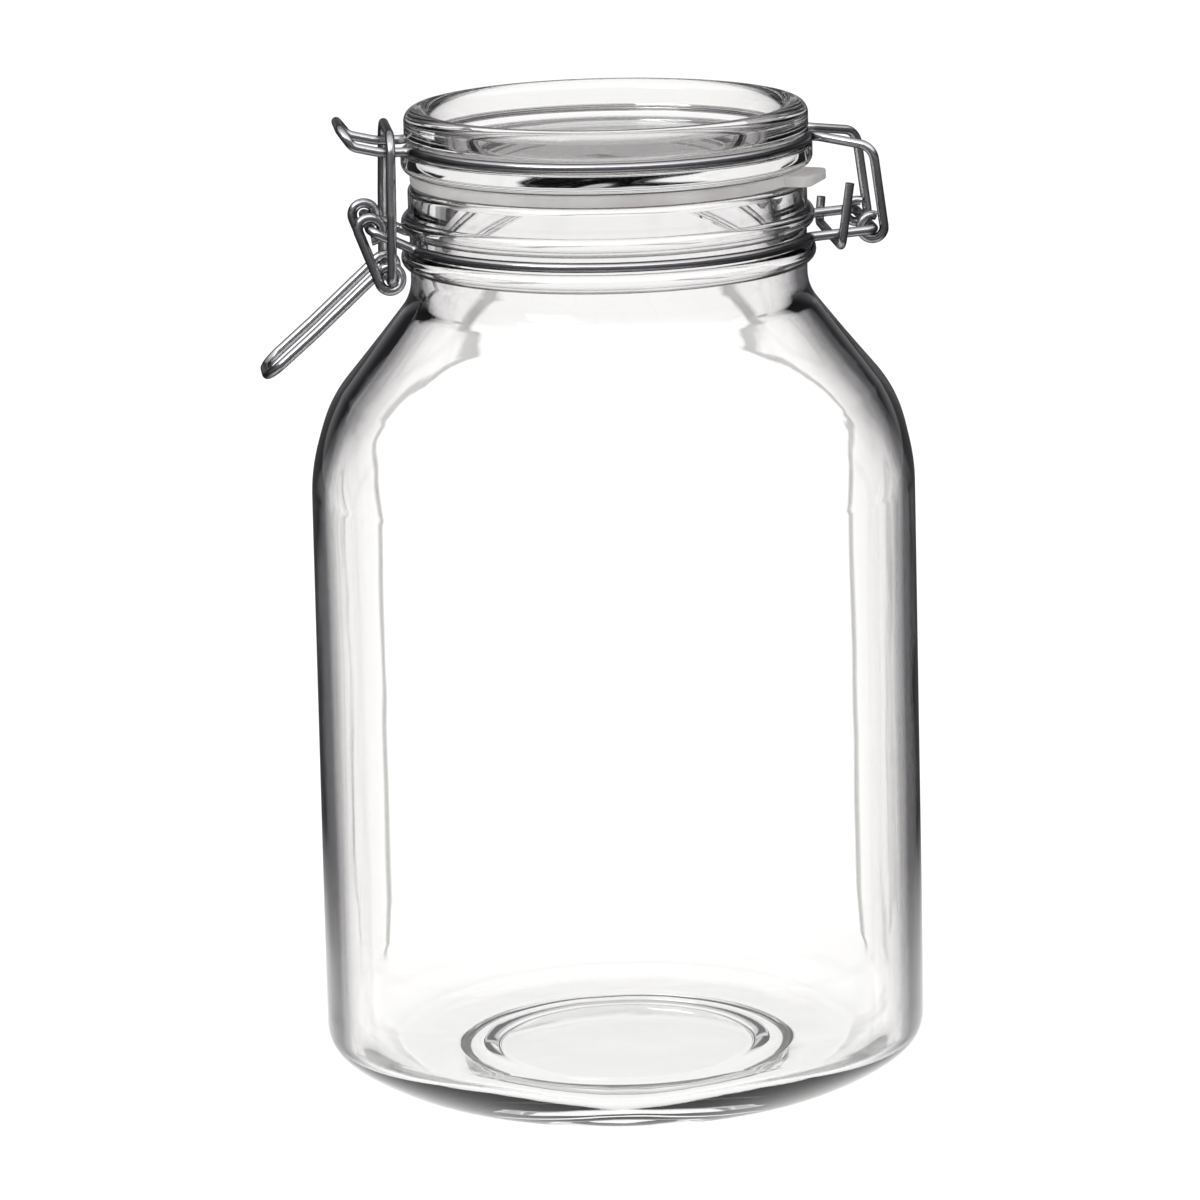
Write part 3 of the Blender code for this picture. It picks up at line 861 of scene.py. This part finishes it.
def latch_lever(material):
    """Lever bent from one wire: two hooks, two eyes and a closed handle."""
    bend_x = eye_x - handle_bend_reach
    bend_z = eye_z - handle_bend_drop
    tip_z = bend_z - handle_end_drop
    near = lever_half(-1)
    far = lever_half(1)
    handle = bent_path([
        (near[-1], 0),
        ((bend_x, -handle_half_span, bend_z), handle_bend_radius),
        ((handle_tip_x, -handle_half_span, tip_z), handle_end_bend),
        ((handle_tip_x, handle_half_span, tip_z), handle_end_bend),
        ((bend_x, handle_half_span, bend_z), handle_bend_radius),
        (far[-1], 0),
    ])
    points = near[:-1] + handle + list(reversed(far[:-1]))
    return wire("lever_wire", points, lever_wire_radius, material)


def bail_wire(material):
    """Bail that hangs over the lid wire's nose, with its feet turned in through the eyes."""
    top_z = lid_wire_height + lid_wire_radius + latch_play + bail_wire_radius
    pin_end = handle_half_span - lever_wire_radius - bail_pin_past_eye
    corners = [((eye_x, -pin_end, eye_z), 0)]
    waist_x = eye_x + bail_lean * bail_straight_height / (top_z - eye_z)
    for side in (-1, 1):
        span, top_span = side * bail_half_span, side * (bail_half_span - bail_top_inset)
        leg = [
            ((eye_x, span, eye_z), bail_foot_bend),
            ((waist_x, span, eye_z + bail_straight_height), bail_waist_bend),
            ((eye_x + bail_lean, top_span, top_z), bail_corner_bend),
        ]
        corners += leg if side < 0 else list(reversed(leg))
    corners.append(((eye_x, pin_end, eye_z), 0))
    return wire("bail_hoop", bent_path(corners), bail_wire_radius, material)


class Tree:
    """A node tree, with short calls for the nodes that the materials share."""

    def __init__(self, owner):
        owner.use_nodes = True
        self.nodes = owner.node_tree.nodes
        self.link = owner.node_tree.links.new

    def add(self, kind, **settings):
        made = self.nodes.new("ShaderNode" + kind)
        for name, value in settings.items():
            setattr(made, name, value)
        return made

    def feed(self, socket, value):
        """Link the socket to an output, or set it to a number or a colour."""
        if isinstance(value, bpy.types.NodeSocket):
            self.link(value, socket)
        elif isinstance(value, tuple):
            socket.default_value = (*value, 1.0)
        else:
            socket.default_value = value

    def spot(self):
        """The surface's own place, in object space."""
        return self.add("TexCoord").outputs["Object"]

    def upward(self, vector):
        """The vertical part of a vector."""
        made = self.add("SeparateXYZ")
        self.link(vector, made.inputs["Vector"])
        return made.outputs["Z"]

    def facing(self):
        """0 where the surface faces the eye, 1 where it turns away."""
        return self.add("LayerWeight").outputs["Facing"]

    def noise(self, scale, detail, distortion=0.0, stretch=(1, 1, 1)):
        """Noise in object space, stretched along each axis by stretch."""
        mapping = self.add("Mapping")
        mapping.inputs["Scale"].default_value = stretch
        self.link(self.spot(), mapping.inputs["Vector"])
        made = self.add("TexNoise")
        made.inputs["Scale"].default_value = scale
        made.inputs["Detail"].default_value = detail
        made.inputs["Distortion"].default_value = distortion
        self.link(mapping.outputs["Vector"], made.inputs["Vector"])
        return made.outputs["Fac"]

    def ramp(self, source, stops, smooth=True):
        """Colour ramp fed by source, with (position, colour) stops."""
        made = self.add("ValToRGB")
        made.color_ramp.interpolation = "EASE" if smooth else "LINEAR"
        elements = made.color_ramp.elements
        elements[0].position = stops[0][0]
        elements[1].position = stops[-1][0]
        for position, _ in stops[1:-1]:
            elements.new(position)
        for element, (_, colour) in zip(elements, stops):
            element.color = (*colour, 1.0)
        self.link(source, made.inputs["Fac"])
        return made.outputs["Color"]

    def remap(self, source, start=0, end=1, low=0, high=1, smooth=False):
        """Map source so that start becomes low and end becomes high, and hold it between them."""
        made = self.add("MapRange", interpolation_type="SMOOTHSTEP" if smooth else "LINEAR")
        ends = {"From Min": start, "From Max": end, "To Min": low, "To Max": high}
        for name, value in ends.items():
            made.inputs[name].default_value = value
        self.link(source, made.inputs["Value"])
        return made.outputs["Result"]

    def calculate(self, operation, *values):
        made = self.add("Math", operation=operation)
        for socket, value in zip(made.inputs, values):
            self.feed(socket, value)
        return made.outputs["Value"]

    def mix(self, share, first, second, blend="MIX"):
        """Mix two colours, each of which is an output or a plain colour."""
        made = self.add("Mix", data_type="RGBA", blend_type=blend)
        self.feed(made.inputs["Factor"], share)
        self.feed(made.inputs[6], first)
        self.feed(made.inputs[7], second)
        return made.outputs[2]

    def bump(self, height, strength, distance):
        made = self.add("Bump")
        made.inputs["Strength"].default_value = strength
        made.inputs["Distance"].default_value = distance
        self.link(height, made.inputs["Height"])
        return made.outputs["Normal"]

    def seen_in_gloss(self):
        """1 for what gloss reflects, 0 for what is seen straight or through glass."""
        path = self.add("LightPath")
        glossy, reflected = path.outputs["Is Glossy Ray"], path.outputs["Is Reflection Ray"]
        return self.calculate("MULTIPLY", glossy, reflected)


def new_material(name, finish):
    """Material, its tree and its shader, which has the finish's values on its own sockets."""
    material = bpy.data.materials.new(name)
    tree = Tree(material)
    shader = tree.nodes["Principled BSDF"]
    for socket, value in finish.items():
        shader.inputs[socket].default_value = value
    return material, tree, shader


def link_surface(tree, shader, tone, patches, roughness, relief, bump):
    """Link the shader's colour, its roughness to patches, and its normal to a bumpy relief."""
    low, high = roughness
    tree.link(tone, shader.inputs["Base Color"])
    tree.link(tree.remap(patches, low=low, high=high), shader.inputs["Roughness"])
    tree.link(tree.bump(relief, **bump), shader.inputs["Normal"])


def glass_painted_shade(tree, painted_shade_tones, stretch, neck_tone):
    """Painted shade by how far the glass turns away, in place of dark surroundings seen through
    it, shifted by streaks, times neck_tone from the neck up.
    """
    streaks = tree.noise(**glass_streaks, stretch=stretch)
    shift = tree.remap(streaks, low=-streak_depth, high=streak_depth)
    # Painted shade: the glass's colour darkens in bands as it turns away from the eye
    painted_shade = tree.ramp(tree.calculate("ADD", tree.facing(), shift), painted_shade_tones, smooth=False)
    neck_share = neck_height / lid_height
    # Darker glass from the neck up
    neck_darkening = tree.ramp(tree.remap(tree.upward(tree.spot()), end=lid_height), [
        (0.0, white),
        (neck_share - neck_tone_fade, white),
        (neck_share + neck_tone_fade, neck_tone),
        (1.0, neck_tone),
    ])
    return tree.mix(1.0, painted_shade, neck_darkening, "MULTIPLY")


def clear_share(tree):
    """1 on the base's flat glass and on the foot, which stay clear, and 0 elsewhere."""
    height = tree.upward(tree.spot())
    level = tree.calculate("ABSOLUTE", tree.upward(tree.add("NewGeometry").outputs["Normal"]))
    flat = tree.remap(level, *flat_fade, smooth=True)
    foot = tree.remap(height, *foot_clear_fade, smooth=True)
    low = tree.remap(height, *base_clear_fade, smooth=True)
    return tree.calculate("MULTIPLY", tree.calculate("MAXIMUM", flat, foot), low)


def glass_material(name, painted_shade_tones, stretch, neck_tone):
    """Pressed glass with painted shade, darker where it turns away and shifted by streaks, and
    with slow waves from moulding.

    Light for shadows and for matt surfaces goes straight through it, slightly dimmed.
    """
    material, tree, shader = new_material(name, glass_finish)
    painted_shade = glass_painted_shade(tree, painted_shade_tones, stretch, neck_tone)
    tone = tree.mix(clear_share(tree), painted_shade, clear_tone)
    smears, waves = tree.noise(**glass_smears), tree.noise(**glass_waves)
    link_surface(tree, shader, tone, smears, glass_roughness, waves, glass_bump)
    path = tree.add("LightPath")
    clear = tree.add("BsdfTransparent")
    tree.feed(clear.inputs["Color"], shadow_tone)
    surface = shader.outputs["BSDF"]
    for kind in ("Is Shadow Ray", "Is Diffuse Ray"):
        mix = tree.add("MixShader")
        tree.link(path.outputs[kind], mix.inputs["Fac"])
        tree.link(surface, mix.inputs[1])
        tree.link(clear.outputs["BSDF"], mix.inputs[2])
        surface = mix.outputs["Shader"]
    tree.link(surface, tree.nodes["Material Output"].inputs["Surface"])
    return material


def steel_material():
    """Bright drawn steel wire: fine scratches, dull patches, and painted shade darkening it
    towards the edges.
    """
    material, tree, shader = new_material("wire_steel", steel_finish)
    # Painted shade: darker as the wire turns away from the eye
    tone = tree.ramp(tree.facing(), steel_painted_shade_tones)
    patches, scratches = tree.noise(**steel_patches), tree.noise(**steel_scratches)
    link_surface(tree, shader, tone, patches, steel_roughness, scratches, steel_bump)
    return material


def rubber_material():
    """Clear silicone rubber: light passes, milky and cloudy, under a satin skin."""
    material, tree, shader = new_material("gasket_rubber", rubber_finish)
    clouds, grain = tree.noise(**rubber_clouds), tree.noise(**rubber_grain)
    tone = tree.ramp(clouds, rubber_tones)
    link_surface(tree, shader, tone, clouds, rubber_roughness, grain, rubber_bump)
    return material


def floor_material():
    """Pale matt surface with a painted dark reflection: gloss shows it darker away from the jar.
    """
    material, tree, shader = new_material("floor_paper", floor_finish)
    tone = tree.ramp(tree.noise(**floor_grain), floor_tones)
    away = tree.add("VectorMath", operation="LENGTH")
    tree.link(tree.spot(), away.inputs[0])
    fade = tree.remap(away.outputs["Value"], *floor_painted_reflection_fade, smooth=True)
    # Painted dark reflection: gloss sees the floor darker away from the jar
    share = tree.calculate("MULTIPLY", tree.seen_in_gloss(), fade)
    tree.link(tree.mix(share, tone, floor_painted_reflection_tone), shader.inputs["Base Color"])
    return material


def stage_floor():
    mesh = bmesh.new()
    bmesh.ops.create_circle(mesh, cap_ends=True, segments=floor_sides, radius=floor_radius)
    data = bpy.data.meshes.new("floor")
    mesh.to_mesh(data)
    mesh.free()
    made = place(data, "floor", floor_material())
    made.location = (0, 0, -floor_drop)


def studio_world():
    """White for the eye, greyer overhead through glass, dark bands for what gloss reflects."""
    world = bpy.data.worlds.new("studio")
    bpy.context.scene.world = world
    tree = Tree(world)
    height = tree.remap(tree.upward(tree.add("TexCoord").outputs["Generated"]))
    straight = tree.mix(tree.seen_in_gloss(), white, tree.ramp(height, gloss_tones))
    refracted = tree.add("LightPath").outputs["Is Transmission Ray"]
    background = tree.nodes["Background"]
    tone = tree.mix(refracted, straight, tree.ramp(height, through_tones))
    tree.link(tone, background.inputs["Color"])
    background.inputs["Strength"].default_value = world_strength


def key_light():
    data = bpy.data.lights.new("key_light", "AREA")
    data.shape = "SQUARE"
    data.size = key_light_size
    data.energy = key_light_power
    made = bpy.data.objects.new("key_light", data)
    made.location = key_light_spot
    aim = Vector((axis_x, 0, mouth_height / 2)) - Vector(key_light_spot)
    made.rotation_mode = "QUATERNION"
    made.rotation_quaternion = aim.to_track_quat("-Z", "Y")
    bpy.context.scene.collection.objects.link(made)


def studio_camera():
    data = bpy.data.cameras.new("camera")
    data.sensor_width = sensor_width
    data.lens = sensor_width * focal_share
    data.clip_start, data.clip_end = clip_start, clip_end
    made = bpy.data.objects.new("camera", data)
    turn = Matrix.Rotation(-camera_azimuth, 4, "Z")
    spot = turn @ Vector((camera_side, -camera_distance, camera_height))
    spot.x += axis_x
    tilt = Matrix.Rotation(math.pi / 2 - camera_pitch, 4, "X")
    roll = Matrix.Rotation(camera_roll, 4, "Z")
    made.matrix_world = Matrix.Translation(spot) @ turn @ tilt @ roll
    bpy.context.scene.collection.objects.link(made)
    bpy.context.scene.camera = made


outer_glass = glass_material("jar_outer_glass", jar_outer_painted_shade_tones, wall_stretch, jar_neck_tone)
inner_glass = glass_material("jar_inner_glass", jar_inner_painted_shade_tones, wall_stretch, jar_neck_tone)
lid_clear_glass = glass_material("lid_clear_glass", lid_painted_shade_tones, lid_stretch, white)
steel = steel_material()
rubber = rubber_material()

for piece, body, node, slot in (
    (glass_jar(outer_glass, inner_glass), "jar", "glass_jar", "clear_glass"),
    (neck_wire(steel), "jar", "neck_wire", "steel_wire"),
    (hinge_tie(steel), "jar", "hinge_tie", "steel_wire"),
    (glass_lid(lid_clear_glass), "lid", "glass_lid", "clear_glass"),
    (gasket(rubber), "lid", "gasket", "pale_rubber"),
    (lid_wire(steel), "lid", "lid_wire", "steel_wire"),
    (latch_lever(steel), "lever", "latch_lever", "steel_wire"),
    (bail_wire(steel), "bail", "bail_wire", "steel_wire"),
):
    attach(piece, body)
    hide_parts(node)

stage_floor()
studio_world()
key_light()
studio_camera()
bpy.context.scene.view_settings.view_transform = "Standard"
